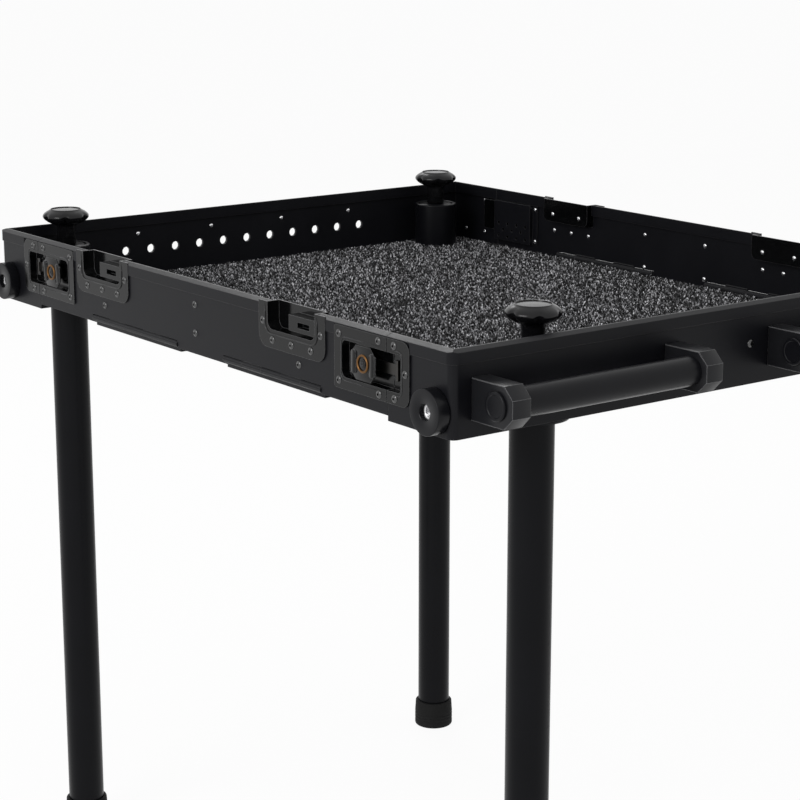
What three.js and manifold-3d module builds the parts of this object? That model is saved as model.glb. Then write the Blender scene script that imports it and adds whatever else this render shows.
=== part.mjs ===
// Carpeted equipment tray with two drop-down sides, standing on four clamped posts.
// Millimetres, +Z up. The origin is on the floor, under the middle of the overall box.
import * as THREE from 'three';
import { mergeVertices } from 'three/addons/utils/BufferGeometryUtils.js';
import Module from 'manifold-3d';

const wasm = await Module();
wasm.setup();

// Driving dimensions. "In" is measured from a side face, "along" from an end face,
// and heights from the bottom edge of the end frames.
const TRAY_WIDTH = 610;
const TRAY_LENGTH = 762;
const RIM_HEIGHT = 72.5;
const STANDING_HEIGHT = 600;
const GAP = 0.3;

const WALL = 3;
const WALL_SETBACK = 1.2;
const LIP_HEIGHT = 12;
const LIP_WIDTH = 7;
const LIP_SLOPE = 5.4;
const LIP_DROP = 2.2;
const CORNER_RADIUS = 8;
const SEAM = 85;
const SEAM_GAP = 0.5;
const FLANGE_WIDTH = 32;
const FLANGE_THICKNESS = 1.5;

const DECK_THICKNESS = 2;
const DECK_EDGE = 7.5;
const CARPET_THICKNESS = 2.3;

const POST_DIAMETER = 38.1;
const POST_WALL = 2.5;
const POST_PLUG = 14;
const POST_FROM_END = 35.4;
const FRONT_POST_IN = 112.6;
const BACK_POST_IN = 59.5;
const SOCKET_DIAMETER = 48.7;
const SOCKET_CLEARANCE = 1.2;
const SOCKET_ROOM = 1.2;
const SOCKET_TOP = 55;
const COLLAR_DIAMETER = 64;
const COLLAR_THICKNESS = 3;
const FOOT_DIAMETER = 46;
const FOOT_HEIGHT = 32;
const FOOT_SOLE = 8;

const STUD_DIAMETER = 10;
const STUD_LENGTH = 11;
const STEM_DIAMETER = 20;
const KNOB_DIAMETER = 48;
const KNOB_BOTTOM = 76;
const KNOB_TOP = 92;
const KNOB_LOBES = 6;
const KNOB_SCALLOP = 2.4;
const KNOB_DISC_DIAMETER = 31;
const KNOB_DISC_DEPTH = 1.2;

const BOSS_DIAMETER = 38;
const BOSS_REACH = 10.6;
const BOSS_BORE = 14;
const BOSS_ALONG = 22;
const BOSS_HEIGHT = 20.8;

const SIDE_BOTTOM = 4.5;
const HINGE_IN = 3.5;
const HINGE_HEIGHT = 8;
const BARREL_DIAMETER = 7;
const PIN_DIAMETER = 3;
const PIN_CLEARANCE = 0.3;
const KNUCKLES = 5;
const HINGE_LENGTHS = [153, 159];
const HINGE_FROM_MIDDLE = [-125.5, 109.5];
const HINGE_LEAF_END = 30;
const HINGE_LEAF = 1.2;

const LATCH_START = 54.7;
const LATCH_END = 157.7;
const LATCH_BOTTOM = 15.5;
const LATCH_TOP = 69.3;
const PLATE = 1.2;
const DISH_START = 66;
const DISH_END = 147;
const DISH_BOTTOM = 26;
const DISH_TOP = 57.6;
const DISH_FLOOR = 7.8;
const PLATE_CORNER = 3;
const STRIKE_CORNER = 9;
const DISH_CORNER = 6;
const WING_ALONG = 115;
const WING_LENGTH = 34;
const WING_HEIGHT = 29;
const WING_CHAMFER = 7;
const WING_PLATE = 1.3;
const WING_HUB_DIAMETER = 10;
const CAM_DIAMETER = 18;
const CAM_THICKNESS = 2.2;
const CLAW_THICKNESS = 1.6;
const CLAW_WIDTH = 9.4;
const CLAW_HEAD_WIDTH = 17;
const CLAW_HEAD_DEPTH = 3.5;
const CLAW_TIP = 75.2;
const CLAW_HEAD = 2.3;
const CLAW_END = 108;
const HORN = 2;

const COVER_BOTTOM = 14.3;
const COVER_TOP = 60.1;
const COVER_HOLE = 4;
const COVER_ROWS = [34, 27, 19];
const COVER_PITCH = 16;

const KEEPER_FROM_LATCH = [13.3, 7.3];
const KEEPER_WIDTH = 100;
const KEEPER_BOTTOM = 32;
const POCKET_START = 14;
const POCKET_WIDTH = 73.5;
const POCKET_BOTTOM = 47.5;
const POCKET_DEPTH = 12;
const POCKET_CORNER = 7;
const KEEPER_CORNER = 12;
const HOOK_WIDTH = 40;
const HOOK_BOTTOM = 52;
const HOOK_TOP = 66;
const HOOK_FACE = 0.4;
const HOOK_SLOT = [9, 27];
const HOOK_SLOT_HEIGHT = [56, 61];
const HOOK_SLOT_DEPTH = 6;

const HANDLE_STARTS = [20, 352];
const HANDLE_WIDTH = 227;
const BRACKET_WIDTH = 19;
const BRACKET_BOTTOM = 14;
const BRACKET_TOP = 49;
const BRACKET_REACH = 49.5;
const BRACKET_CHAMFER = 10;
const GRIP_DIAMETER = 25.4;
const GRIP_OUT = 31;
const GRIP_HEIGHT = 31.8;
const GRIP_END = 3;

const BACK_HOLES = 11;
const BACK_HOLE_DIAMETER = 9.5;
const BACK_HOLE_PITCH = 31.3;
const BACK_HOLE_HEIGHT = 33.7;

// Worked-out levels.
const DECK_BOTTOM = FLANGE_THICKNESS + GAP;
const CARPET_BOTTOM = DECK_BOTTOM + DECK_THICKNESS + GAP;
const WALL_INSIDE = WALL_SETBACK + WALL;
const FACE = WALL_SETBACK - GAP;
const LATCH_MIDDLE = (LATCH_BOTTOM + LATCH_TOP) / 2;
const NOTCH_TOP = HINGE_HEIGHT + BARREL_DIAMETER / 2 + GAP;
const KEEPER_STARTS = [LATCH_END + KEEPER_FROM_LATCH[0],
  TRAY_LENGTH - LATCH_END - KEEPER_FROM_LATCH[1] - KEEPER_WIDTH];
const HINGE_STRIPS = HINGE_LENGTHS.map((length, i) => {
  const middle = TRAY_LENGTH / 2 + HINGE_FROM_MIDDLE[i];
  return [middle - length / 2, middle + length / 2];
});
const FLOOR = -STANDING_HEIGHT;

function finish(color, roughness, metalness) {
  return new THREE.MeshStandardMaterial({ color, roughness, metalness });
}

const powderCoat = finish(0x101113, 0.45, 0.2);
const brightSteel = finish(0xb9bcc0, 0.3, 1);
const satinAluminium = finish(0x6f7276, 0.4, 1);
const blackPlastic = finish(0x17181a, 0.5, 0);
const carpetPile = finish(0x33353a, 1, 0);
const rubber = finish(0x101112, 0.9, 0);

// A closed three.js geometry as a solid, and back.
function solid(geometry) {
  const bare = geometry.clone();
  bare.deleteAttribute('normal');
  bare.deleteAttribute('uv');
  const merged = mergeVertices(bare, 1e-4);
  return new wasm.Manifold(new wasm.Mesh({
    numProp: 3,
    vertProperties: new Float32Array(merged.attributes.position.array),
    triVerts: new Uint32Array(merged.index.array),
  }));
}

function toGeometry(body) {
  const mesh = body.getMesh();
  const geometry = new THREE.BufferGeometry();
  geometry.setAttribute('position', new THREE.BufferAttribute(mesh.vertProperties, 3));
  geometry.setIndex(new THREE.BufferAttribute(mesh.triVerts, 1));
  return geometry;
}

function box(x, y, z) {
  const geometry = new THREE.BoxGeometry(x[1] - x[0], y[1] - y[0], z[1] - z[0]);
  geometry.translate((x[0] + x[1]) / 2, (y[0] + y[1]) / 2, (z[0] + z[1]) / 2);
  return solid(geometry);
}

// A round bar along x, y or z; place gives its centre line, in the other two directions.
function bar(direction, diameter, span, place, sides = 16) {
  const geometry = new THREE.CylinderGeometry(diameter / 2, diameter / 2, span[1] - span[0], sides);
  const middle = (span[0] + span[1]) / 2;
  if (direction === 'x') geometry.rotateZ(-Math.PI / 2).translate(middle, place[0], place[1]);
  if (direction === 'y') geometry.translate(place[0], middle, place[1]);
  if (direction === 'z') geometry.rotateX(Math.PI / 2).translate(place[0], place[1], middle);
  return solid(geometry);
}

function prism(points, depth) {
  const shape = new THREE.Shape(points.map(([x, y]) => new THREE.Vector2(x, y)));
  return new THREE.ExtrudeGeometry(shape, { depth, bevelEnabled: false });
}

function lathe(points, sides) {
  const profile = points.map(([radius, height]) => new THREE.Vector2(radius, height));
  return new THREE.LatheGeometry(profile, sides).rotateX(Math.PI / 2);
}

// A plate lying along a side, with corners rounded by radii given round from the low near one.
function rounded(depth, along, heights, radii) {
  const [near, far, low, high] = [...along, ...heights];
  const shape = new THREE.Shape();
  shape.moveTo(near + radii[0], low);
  shape.lineTo(far - radii[1], low);
  if (radii[1]) shape.absarc(far - radii[1], low + radii[1], radii[1], -Math.PI / 2, 0, false);
  shape.lineTo(far, high - radii[2]);
  if (radii[2]) shape.absarc(far - radii[2], high - radii[2], radii[2], 0, Math.PI / 2, false);
  shape.lineTo(near + radii[3], high);
  if (radii[3]) shape.absarc(near + radii[3], high - radii[3], radii[3], Math.PI / 2, Math.PI, false);
  if (radii[0]) {
    shape.lineTo(near, low + radii[0]);
    shape.absarc(near + radii[0], low + radii[0], radii[0], Math.PI, Math.PI * 1.5, false);
  }
  const geometry = new THREE.ExtrudeGeometry(shape,
    { depth: depth[1] - depth[0], bevelEnabled: false, curveSegments: 4 });
  geometry.rotateX(Math.PI / 2).rotateZ(Math.PI / 2).translate(depth[0], 0, 0);
  return solid(geometry);
}

// Geometry given as (in, along, height) from a corner, turned to face out of another corner.
function handed(geometry, sideX, sideY) {
  const turned = geometry.clone();
  const position = turned.attributes.position;
  for (let i = 0; i < position.count; i += 1) {
    position.setXY(i, -sideX * position.getX(i), -sideY * position.getY(i));
  }
  if (sideX * sideY < 0) {
    const index = turned.index.array;
    for (let i = 0; i < index.length; i += 3) [index[i], index[i + 1]] = [index[i + 1], index[i]];
  }
  return turned;
}

const tray = new THREE.Group();
tray.position.set(0, BRACKET_REACH / 2, STANDING_HEIGHT);

function add(name, body, material, sideX = -1, sideY = -1) {
  const mesh = new THREE.Mesh(handed(toGeometry(body), sideX, sideY), material);
  mesh.name = name;
  mesh.position.set(sideX * TRAY_WIDTH / 2, sideY * TRAY_LENGTH / 2, 0);
  tray.add(mesh);
}

// The U-shaped outline of an end frame between two insets, up to the seams on the long sides.
function frameOutline(outer, inner) {
  const shape = new THREE.Shape();
  const end = SEAM - SEAM_GAP / 2;
  const right = TRAY_WIDTH;
  const turn = CORNER_RADIUS - outer;
  shape.moveTo(outer, end);
  shape.lineTo(outer, CORNER_RADIUS);
  shape.absarc(CORNER_RADIUS, CORNER_RADIUS, turn, Math.PI, Math.PI * 1.5, false);
  shape.absarc(right - CORNER_RADIUS, CORNER_RADIUS, turn, Math.PI * 1.5, Math.PI * 2, false);
  shape.lineTo(right - outer, end);
  shape.lineTo(right - inner, end);
  shape.lineTo(right - inner, inner);
  shape.lineTo(inner, inner);
  shape.lineTo(inner, end);
  return shape;
}

function frameBand(outer, inner, bottom, top) {
  const geometry = new THREE.ExtrudeGeometry(frameOutline(outer, inner),
    { depth: top - bottom, bevelEnabled: false, curveSegments: 5 });
  return solid(geometry.translate(0, 0, bottom));
}

// What is cut off the outside of the lip so that its top slopes: a wedge along a long side.
function lipWedge(along) {
  const past = 1;
  const outline = [[-past, RIM_HEIGHT - LIP_DROP * (1 + past / LIP_SLOPE)], [LIP_SLOPE, RIM_HEIGHT],
    [LIP_SLOPE, RIM_HEIGHT + past], [-past, RIM_HEIGHT + past]];
  return prism(outline, along[1] - along[0]).rotateX(Math.PI / 2).translate(0, along[1], 0);
}

function endFrame(postIn) {
  let body = frameBand(WALL_SETBACK, WALL_INSIDE, 0, RIM_HEIGHT);
  body = body.add(frameBand(0, LIP_WIDTH, RIM_HEIGHT - LIP_HEIGHT, RIM_HEIGHT));
  body = body.add(frameBand(WALL_SETBACK, FLANGE_WIDTH, 0, FLANGE_THICKNESS));
  for (const side of [0, 1]) {
    const across = (value) => (side ? TRAY_WIDTH - value : value);
    const span = (a, b) => [Math.min(across(a), across(b)), Math.max(across(a), across(b))];
    const dish = box(span(-1, LIP_WIDTH + 1), [DISH_START - PLATE - GAP, SEAM],
      [DISH_BOTTOM - PLATE - GAP, DISH_TOP + PLATE + GAP]);
    const plateRoom = box(span(-1, WALL_SETBACK), [LATCH_START - GAP, SEAM],
      [RIM_HEIGHT - LIP_HEIGHT - 1, LATCH_TOP + GAP]);
    const socketRoom = bar('z', SOCKET_DIAMETER + SOCKET_ROOM, [-1, FLANGE_THICKNESS + 1],
      [across(postIn), POST_FROM_END], 24);
    body = body.subtract(dish).subtract(plateRoom).subtract(socketRoom);
  }
  const middle = TRAY_WIDTH / 2;
  const left = lipWedge([-1, SEAM]);
  const right = left.clone().rotateZ(Math.PI).translate(TRAY_WIDTH, SEAM - 1, 0);
  const front = lipWedge([-middle - 1, middle + 1]).rotateZ(Math.PI / 2).translate(middle, 0, 0);
  for (const wedge of [left, right, front]) body = body.subtract(solid(wedge));
  return body;
}

const holeStart = TRAY_WIDTH / 2 - BACK_HOLE_PITCH * (BACK_HOLES - 1) / 2;
let backFrame = endFrame(BACK_POST_IN);
for (let i = 0; i < BACK_HOLES; i += 1) {
  backFrame = backFrame.subtract(bar('y', BACK_HOLE_DIAMETER, [-1, WALL_INSIDE + 1],
    [holeStart + i * BACK_HOLE_PITCH, BACK_HOLE_HEIGHT], 10));
}
add('front_frame', endFrame(FRONT_POST_IN), powderCoat, -1, -1);
add('back_frame', backFrame, powderCoat, -1, 1);

// The deck and its lining are one sheet each, with a round hole for every socket.
function sheet(edge, ends, bottom, top) {
  let body = box([edge, TRAY_WIDTH - edge], [ends, TRAY_LENGTH - ends], [bottom, top]);
  for (const [postIn, along] of [[FRONT_POST_IN, POST_FROM_END],
    [BACK_POST_IN, TRAY_LENGTH - POST_FROM_END]]) {
    for (const across of [postIn, TRAY_WIDTH - postIn]) {
      body = body.subtract(bar('z', SOCKET_DIAMETER + SOCKET_ROOM, [bottom - 1, top + 1],
        [across, along], 24));
    }
  }
  return body;
}

const sheetEnds = WALL_INSIDE + GAP;
add('deck_panel', sheet(DECK_EDGE, sheetEnds, DECK_BOTTOM, DECK_BOTTOM + DECK_THICKNESS),
  satinAluminium);
add('carpet_lining', sheet(DECK_EDGE, sheetEnds, CARPET_BOTTOM, CARPET_BOTTOM + CARPET_THICKNESS),
  carpetPile);

// A drop side: the wall and its lip, cut out for the hinges, latches and keepers.
function hingeKnuckles(start, end, first) {
  const pitch = (end - start - 2 * GAP) / KNUCKLES;
  const spans = [];
  for (let i = first; i < KNUCKLES; i += 2) {
    spans.push([start + GAP + i * pitch + GAP / 2, start + GAP + (i + 1) * pitch - GAP / 2]);
  }
  return spans;
}

function dropSide() {
  const span = [SEAM + SEAM_GAP / 2, TRAY_LENGTH - SEAM - SEAM_GAP / 2];
  let body = box([WALL_SETBACK, WALL_INSIDE], span, [SIDE_BOTTOM, RIM_HEIGHT]);
  body = body.add(box([0, LIP_WIDTH], span, [RIM_HEIGHT - LIP_HEIGHT, RIM_HEIGHT]));
  for (const [start, end] of HINGE_STRIPS) {
    body = body.subtract(box([-1, WALL_INSIDE + 1], [start, end], [SIDE_BOTTOM - 1, NOTCH_TOP]));
    for (const knuckle of hingeKnuckles(start, end, 1)) {
      const leaf = box([HINGE_IN - PIN_DIAMETER / 2, HINGE_IN + PIN_DIAMETER / 2], knuckle,
        [HINGE_HEIGHT, NOTCH_TOP + PLATE]);
      const barrel = bar('y', BARREL_DIAMETER, knuckle, [HINGE_IN, HINGE_HEIGHT], 12);
      const bore = bar('y', PIN_DIAMETER + 2 * PIN_CLEARANCE, [knuckle[0] - 1, knuckle[1] + 1],
        [HINGE_IN, HINGE_HEIGHT], 8);
      body = body.add(leaf).add(barrel).subtract(bore);
    }
  }
  for (const mirrored of [false, true]) {
    const along = (a, b) => (mirrored ? [TRAY_LENGTH - b, TRAY_LENGTH - a] : [a, b]);
    body = body.subtract(box([-1, WALL_INSIDE + 1], along(SEAM - 1, DISH_END + PLATE + GAP),
      [DISH_BOTTOM - PLATE - GAP, DISH_TOP + PLATE + GAP]));
    body = body.subtract(box([-1, WALL_SETBACK], along(SEAM - 1, LATCH_END + GAP),
      [RIM_HEIGHT - LIP_HEIGHT - 1, LATCH_TOP + GAP]));
  }
  body = body.subtract(solid(lipWedge([SEAM, TRAY_LENGTH - SEAM])));
  for (const start of KEEPER_STARTS) {
    const pocket = [start + POCKET_START - GAP, start + POCKET_START + POCKET_WIDTH + GAP];
    body = body.subtract(box([-1, LIP_WIDTH + 1], pocket, [POCKET_BOTTOM - GAP, RIM_HEIGHT + 1]));
    body = body.subtract(box([-1, WALL_SETBACK], [start - GAP, start + KEEPER_WIDTH + GAP],
      [RIM_HEIGHT - LIP_HEIGHT - 1, RIM_HEIGHT + 1]));
  }
  return body;
}

// The fixed half of a hinge: knuckles, pin, and a leaf that turns under the deck.
function hingeBase(start, end) {
  const span = [start + GAP, end - GAP];
  const legIn = HINGE_IN + PIN_DIAMETER / 2 + GAP;
  const legOut = DECK_EDGE - 2 * GAP;
  const barrelBottom = HINGE_HEIGHT - BARREL_DIAMETER / 2;
  let body = box([legIn, HINGE_LEAF_END], span, [DECK_BOTTOM - GAP - HINGE_LEAF, DECK_BOTTOM - GAP]);
  body = body.add(box([legIn, legOut], span, [DECK_BOTTOM - GAP - HINGE_LEAF, barrelBottom - 2 * GAP]));
  for (const knuckle of hingeKnuckles(start, end, 0)) {
    body = body.add(box([legIn, legOut], knuckle, [barrelBottom - 2 * GAP - 1, HINGE_HEIGHT]));
    body = body.add(bar('y', BARREL_DIAMETER, knuckle, [HINGE_IN, HINGE_HEIGHT], 12));
  }
  return body.add(bar('y', PIN_DIAMETER, span, [HINGE_IN, HINGE_HEIGHT], 8));
}

// One half of a recessed latch: a face plate round a dish that is open at the seam.
function latchHalf(plateSpan, dishSpan, openSpan, plateRadii, dishRadii) {
  const outer = FACE - PLATE;
  let body = rounded([outer, FACE], plateSpan, [LATCH_BOTTOM, LATCH_TOP], plateRadii);
  body = body.add(rounded([outer, DISH_FLOOR + PLATE], dishSpan,
    [DISH_BOTTOM - PLATE, DISH_TOP + PLATE], dishRadii));
  return body.subtract(rounded([outer - 1, DISH_FLOOR], openSpan, [DISH_BOTTOM, DISH_TOP], dishRadii));
}

function latchStrike() {
  const edge = SEAM - SEAM_GAP;
  let body = latchHalf([LATCH_START, edge], [DISH_START - PLATE, edge], [DISH_START, SEAM + 1],
    [STRIKE_CORNER, 0, 0, STRIKE_CORNER], [DISH_CORNER / 2, 0, 0, DISH_CORNER / 2]);
  const hornStart = CLAW_TIP + CLAW_HEAD + GAP;
  for (const side of [-1, 1]) {
    const inner = LATCH_MIDDLE + side * (CLAW_WIDTH / 2 + GAP);
    const outer = LATCH_MIDDLE + side * CLAW_HEAD_WIDTH / 2;
    body = body.add(box([DISH_FLOOR - CLAW_HEAD_DEPTH - GAP, DISH_FLOOR + PLATE / 2],
      [hornStart, hornStart + HORN], [Math.min(inner, outer), Math.max(inner, outer)]));
  }
  return body;
}

function latchDish() {
  const edge = SEAM + SEAM_GAP;
  return latchHalf([edge, LATCH_END], [edge, DISH_END + PLATE], [SEAM - 1, DISH_END],
    [0, PLATE_CORNER, PLATE_CORNER, 0], [0, DISH_CORNER, DISH_CORNER, 0]);
}

function latchClaw() {
  const back = DISH_FLOOR - GAP;
  const stem = box([back - CLAW_THICKNESS, back], [CLAW_TIP, CLAW_END],
    [LATCH_MIDDLE - CLAW_WIDTH / 2, LATCH_MIDDLE + CLAW_WIDTH / 2]);
  return stem.add(box([back - CLAW_HEAD_DEPTH, back], [CLAW_TIP, CLAW_TIP + CLAW_HEAD],
    [LATCH_MIDDLE - CLAW_HEAD_WIDTH / 2, LATCH_MIDDLE + CLAW_HEAD_WIDTH / 2]));
}

function latchWing() {
  const halfLength = WING_LENGTH / 2;
  const halfHeight = WING_HEIGHT / 2;
  const outline = [];
  for (const [x, y] of [[1, 1], [-1, 1], [-1, -1], [1, -1]]) {
    const ends = [[x * halfLength, y * (halfHeight - WING_CHAMFER)],
      [x * (halfLength - WING_CHAMFER), y * halfHeight]];
    outline.push(...(x * y > 0 ? ends : ends.reverse()));
  }
  const plate = prism(outline, WING_PLATE).rotateX(Math.PI / 2).rotateZ(Math.PI / 2);
  const plateIn = FACE - PLATE - GAP;
  plate.translate(plateIn - WING_PLATE, WING_ALONG, LATCH_MIDDLE);
  const camIn = DISH_FLOOR - 2 * GAP - CLAW_THICKNESS;
  const place = [WING_ALONG, LATCH_MIDDLE];
  const hub = bar('x', WING_HUB_DIAMETER, [plateIn - WING_PLATE / 2, camIn], place);
  return solid(plate).add(hub).add(bar('x', CAM_DIAMETER, [camIn - CAM_THICKNESS, camIn], place));
}

// The perforated cover behind a latch, boxed out over the back of the dish.
function latchCover() {
  const edge = SEAM + SEAM_GAP;
  const face = WALL_INSIDE + GAP;
  const top = DISH_FLOOR + PLATE + GAP;
  const rise = [COVER_BOTTOM, COVER_TOP];
  let body = box([face, face + PLATE], [edge, LATCH_END], rise);
  body = body.add(box([face, top + PLATE], [edge, DISH_END + 2 * PLATE + GAP], rise));
  body = body.subtract(box([face - 1, top], [edge - 1, DISH_END + PLATE + GAP],
    [COVER_BOTTOM + PLATE, COVER_TOP - PLATE / 2 - GAP]));
  COVER_ROWS.forEach((height, row) => {
    const first = edge + COVER_PITCH / 2 + (row % 2) * COVER_PITCH / 2;
    for (let along = first; along < DISH_END - COVER_HOLE; along += COVER_PITCH) {
      body = body.subtract(bar('x', COVER_HOLE, [top - 1, top + PLATE + 1], [along, height], 6));
    }
  });
  return body;
}

// A keeper: a face plate up to the rim, and a pocket open outwards and upwards with a hook box.
function rimKeeper(start) {
  const outer = FACE - PLATE;
  const pocket = [start + POCKET_START, start + POCKET_START + POCKET_WIDTH];
  const inside = [pocket[0] + PLATE, pocket[1] - PLATE];
  const foot = [KEEPER_CORNER, KEEPER_CORNER, 0, 0];
  const turn = [POCKET_CORNER, POCKET_CORNER, 0, 0];
  let body = rounded([outer, FACE], [start, start + KEEPER_WIDTH], [KEEPER_BOTTOM, RIM_HEIGHT], foot);
  body = body.add(rounded([outer, POCKET_DEPTH + PLATE], pocket, [POCKET_BOTTOM, RIM_HEIGHT], turn));
  body = body.subtract(rounded([outer - 1, POCKET_DEPTH], inside,
    [POCKET_BOTTOM + PLATE, RIM_HEIGHT + 1], turn));
  const hook = pocket[0] + PLATE / 2;
  body = body.add(box([HOOK_FACE, POCKET_DEPTH + PLATE / 2], [hook, hook + HOOK_WIDTH],
    [HOOK_BOTTOM, HOOK_TOP]));
  return body.subtract(box([HOOK_FACE - 1, HOOK_FACE + HOOK_SLOT_DEPTH],
    [hook + HOOK_SLOT[0], hook + HOOK_SLOT[1]], HOOK_SLOT_HEIGHT));
}

function cornerBoss() {
  const sides = 18;
  const ring = lathe([[BOSS_BORE / 2, 0], [BOSS_DIAMETER / 2, 0],
    [BOSS_DIAMETER / 2, BOSS_REACH + FACE - 1], [BOSS_DIAMETER / 2 - 1, BOSS_REACH + FACE],
    [BOSS_BORE / 2, BOSS_REACH + FACE], [BOSS_BORE / 2, 0]], sides);
  ring.rotateY(-Math.PI / 2).translate(FACE, BOSS_ALONG, BOSS_HEIGHT);
  return solid(ring);
}

function postSocket(postIn) {
  const inner = (POST_DIAMETER + SOCKET_CLEARANCE) / 2;
  const bottom = -GAP - COLLAR_THICKNESS;
  const profile = [[inner, bottom], [COLLAR_DIAMETER / 2, bottom], [COLLAR_DIAMETER / 2, -GAP],
    [SOCKET_DIAMETER / 2, -GAP], [SOCKET_DIAMETER / 2, SOCKET_TOP - 1],
    [SOCKET_DIAMETER / 2 - 1, SOCKET_TOP], [inner, SOCKET_TOP], [inner, bottom]];
  return solid(lathe(profile, 20).translate(postIn, POST_FROM_END, 0));
}

function postTube(postIn) {
  const outer = POST_DIAMETER / 2;
  const inner = outer - POST_WALL;
  const bore = STUD_DIAMETER / 2 + GAP;
  const top = SOCKET_TOP - GAP;
  const bottom = FLOOR + FOOT_SOLE + GAP;
  const profile = [[inner, bottom], [outer, bottom], [outer, top], [bore, top], [bore, top - POST_PLUG],
    [inner, top - POST_PLUG], [inner, bottom]];
  return solid(lathe(profile, 20).translate(postIn, POST_FROM_END, 0));
}

function postFoot(postIn) {
  const bore = POST_DIAMETER / 2 + GAP;
  const outer = FOOT_DIAMETER / 2;
  const profile = [[0, 0], [outer - 2, 0], [outer, 2], [outer, FOOT_SOLE], [outer - 1, FOOT_HEIGHT],
    [bore, FOOT_HEIGHT], [bore, FOOT_SOLE], [0, FOOT_SOLE]];
  return solid(lathe(profile, 18).translate(postIn, POST_FROM_END, FLOOR));
}

// A lobed knob: a scalloped, softened cap with a sunk disc, on a stem and a stud.
function postKnob(postIn) {
  const outline = [];
  const steps = KNOB_LOBES * 5;
  const crown = 2.5;
  for (let i = 0; i < steps; i += 1) {
    const turn = i / steps * Math.PI * 2;
    const dip = Math.max(0, Math.cos(KNOB_LOBES * turn)) ** 2 * KNOB_SCALLOP;
    const radius = KNOB_DIAMETER / 2 - crown - dip;
    outline.push(new THREE.Vector2(radius * Math.cos(turn), radius * Math.sin(turn)));
  }
  const cap = new THREE.ExtrudeGeometry(new THREE.Shape(outline), {
    depth: KNOB_TOP - KNOB_BOTTOM - 2 * crown, bevelEnabled: true, bevelSize: crown,
    bevelThickness: crown, bevelSegments: 2,
  }).translate(0, 0, KNOB_BOTTOM + crown);
  const disc = bar('z', KNOB_DISC_DIAMETER, [KNOB_TOP - KNOB_DISC_DEPTH, KNOB_TOP + 1], [0, 0]);
  const stem = bar('z', STEM_DIAMETER, [SOCKET_TOP, KNOB_BOTTOM + 1], [0, 0]);
  const stud = bar('z', STUD_DIAMETER, [SOCKET_TOP - STUD_LENGTH, SOCKET_TOP + 1], [0, 0], 16);
  return solid(cap).subtract(disc).add(stem).add(stud).translate([postIn, POST_FROM_END, 0]);
}

const CORNERS = [['front_left', -1, -1], ['front_right', 1, -1], ['back_left', -1, 1],
  ['back_right', 1, 1]];
for (const [corner, sideX, sideY] of CORNERS) {
  const postIn = sideY < 0 ? FRONT_POST_IN : BACK_POST_IN;
  add(`post_socket_${corner}`, postSocket(postIn), powderCoat, sideX, sideY);
  add(`post_tube_${corner}`, postTube(postIn), powderCoat, sideX, sideY);
  add(`post_foot_${corner}`, postFoot(postIn), rubber, sideX, sideY);
  add(`post_knob_${corner}`, postKnob(postIn), blackPlastic, sideX, sideY);
  add(`corner_boss_${corner}`, cornerBoss(), blackPlastic, sideX, sideY);
  add(`latch_strike_${corner}`, latchStrike(), blackPlastic, sideX, sideY);
  add(`latch_dish_${corner}`, latchDish(), blackPlastic, sideX, sideY);
  add(`latch_claw_${corner}`, latchClaw(), brightSteel, sideX, sideY);
  add(`latch_wing_${corner}`, latchWing(), blackPlastic, sideX, sideY);
  add(`latch_cover_${corner}`, latchCover(), powderCoat, sideX, sideY);
}

for (const [side, sideX] of [['left', -1], ['right', 1]]) {
  add(`drop_side_${side}`, dropSide(), powderCoat, sideX, -1);
  [['front', 0], ['back', 1]].forEach(([end, i]) => {
    add(`hinge_base_${end}_${side}`, hingeBase(...HINGE_STRIPS[i]), powderCoat, sideX, -1);
    add(`rim_keeper_${end}_${side}`, rimKeeper(KEEPER_STARTS[i]), blackPlastic, sideX, -1);
  });
}

// Two carrying handles: a round grip held in a pair of blocks with chamfered noses.
function bracket(start) {
  const nose = -BRACKET_REACH;
  const corner = nose + BRACKET_CHAMFER;
  const outline = [[WALL_SETBACK - GAP, BRACKET_BOTTOM], [WALL_SETBACK - GAP, BRACKET_TOP],
    [corner, BRACKET_TOP], [nose, BRACKET_TOP - BRACKET_CHAMFER], [nose, BRACKET_BOTTOM + BRACKET_CHAMFER],
    [corner, BRACKET_BOTTOM]];
  const block = prism(outline, BRACKET_WIDTH).rotateX(Math.PI / 2).rotateZ(Math.PI / 2);
  block.translate(start, 0, 0);
  const bore = bar('x', GRIP_DIAMETER + 2 * GAP, [start - 1, start + BRACKET_WIDTH + 1],
    [-GRIP_OUT, GRIP_HEIGHT], 20);
  return solid(block).subtract(bore);
}

['left', 'right'].forEach((side, i) => {
  const start = HANDLE_STARTS[i];
  const end = start + HANDLE_WIDTH;
  add(`handle_bracket_${side}_outer`, bracket(i ? end - BRACKET_WIDTH : start), blackPlastic);
  add(`handle_bracket_${side}_inner`, bracket(i ? start : end - BRACKET_WIDTH), blackPlastic);
  add(`handle_grip_${side}`, bar('x', GRIP_DIAMETER, [start - GRIP_END, end + GRIP_END],
    [-GRIP_OUT, GRIP_HEIGHT], 20), powderCoat);
});

const group = new THREE.Group();
group.add(tray);
export default group;
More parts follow.
